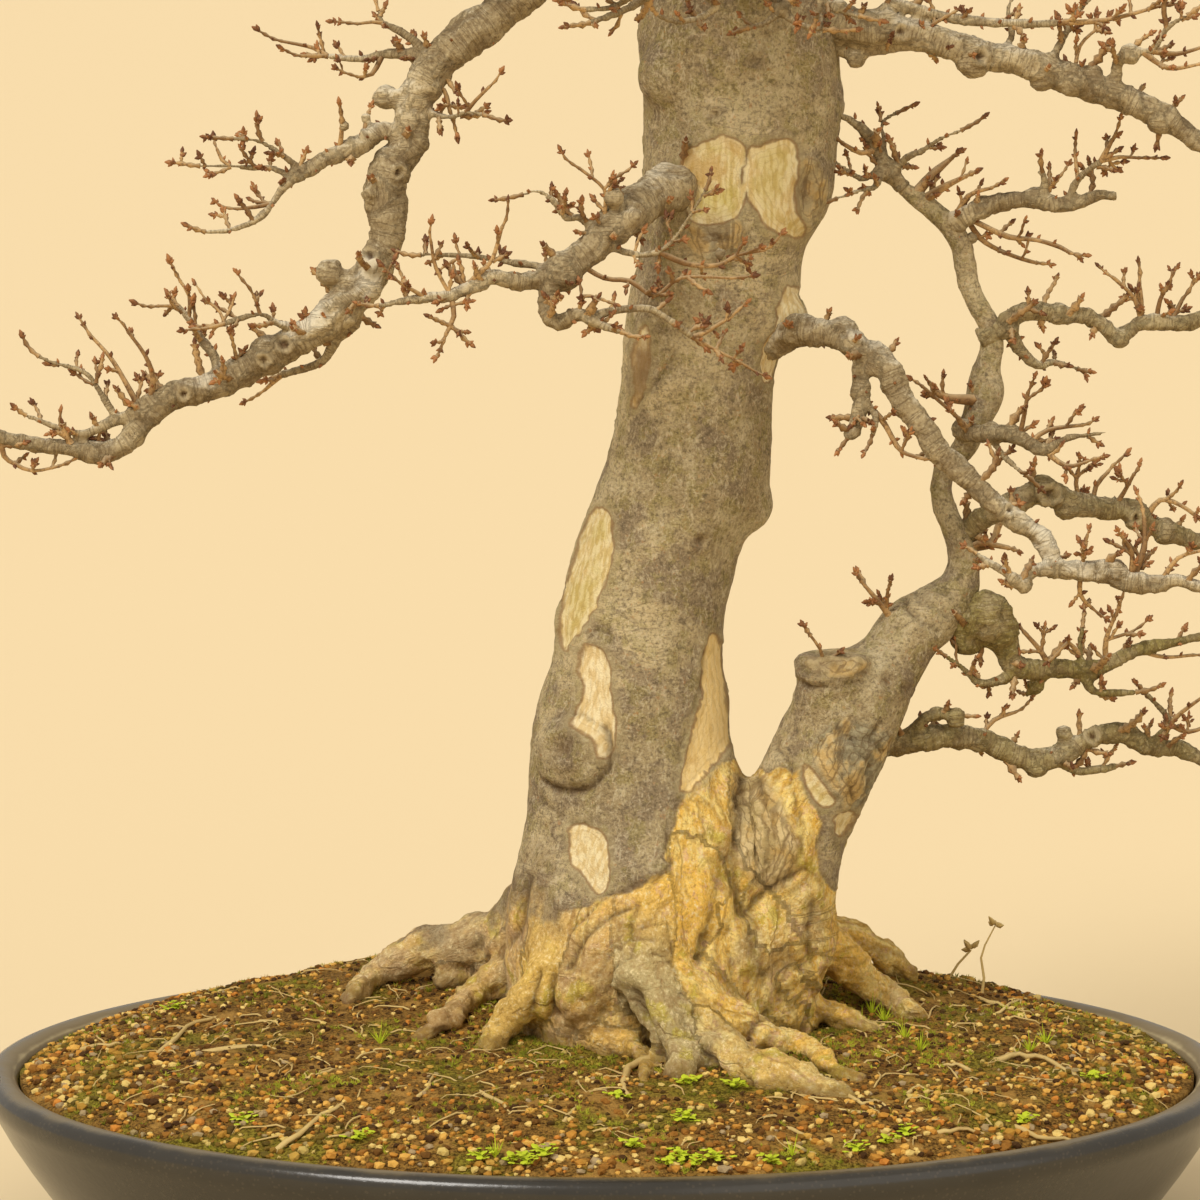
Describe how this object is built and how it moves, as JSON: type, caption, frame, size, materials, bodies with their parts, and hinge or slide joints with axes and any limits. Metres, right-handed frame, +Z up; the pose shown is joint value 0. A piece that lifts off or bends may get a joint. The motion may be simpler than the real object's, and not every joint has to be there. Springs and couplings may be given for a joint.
{
  "type": "trident maple bonsai",
  "caption": "Old winter bonsai with a thick scarred trunk, spreading surface roots, a second stem and bare twiggy branches, in gritty soil in a low oval pot.",
  "frame": {"origin": "middle of the pot's plan, on the ground that its feet stand on", "axes": "+Z up, +X to the right and +Y to the back of the side that is shown to the viewer"},
  "size_m": [0.7911, 0.5713, 0.8863],
  "materials": {
    "pot": "dark brown unglazed stoneware, lightly burnished",
    "screen": "plain plastic drainage mesh",
    "soil": "ochre and brown grit with moss",
    "bark": "grey-brown bark with ochre and cream patches",
    "twig": "lichened bark and red-brown buds"
  },
  "bodies": {
    "root": {"pot": "pot", "drain_screen_left": "screen", "drain_screen_right": "screen", "soil": "soil", "trunk": "bark", "left_falling_branch": "twig", "front_left_branch": "twig", "front_top_branch": "twig", "right_top_branch": "twig", "right_arching_branch": "twig", "right_stem_spray_low": "twig", "right_stem_spray_burl": "twig", "right_stem_spray_middle": "twig", "right_stem_spray_front": "twig", "right_stem_spray_upper": "twig", "right_stem_spray_top": "twig", "right_stem_tip": "twig", "back_left_branch": "twig", "back_right_branch": "twig", "left_middle_branch": "twig", "right_middle_branch": "twig", "front_right_branch": "twig", "front_upper_branch": "twig", "back_upper_branch": "twig", "left_upper_branch": "twig", "right_upper_branch": "twig", "front_crown_branch": "twig", "back_crown_branch": "twig", "left_crown_branch": "twig", "right_crown_branch": "twig", "apex_spray": "twig"}
  },
  "joints": []
}
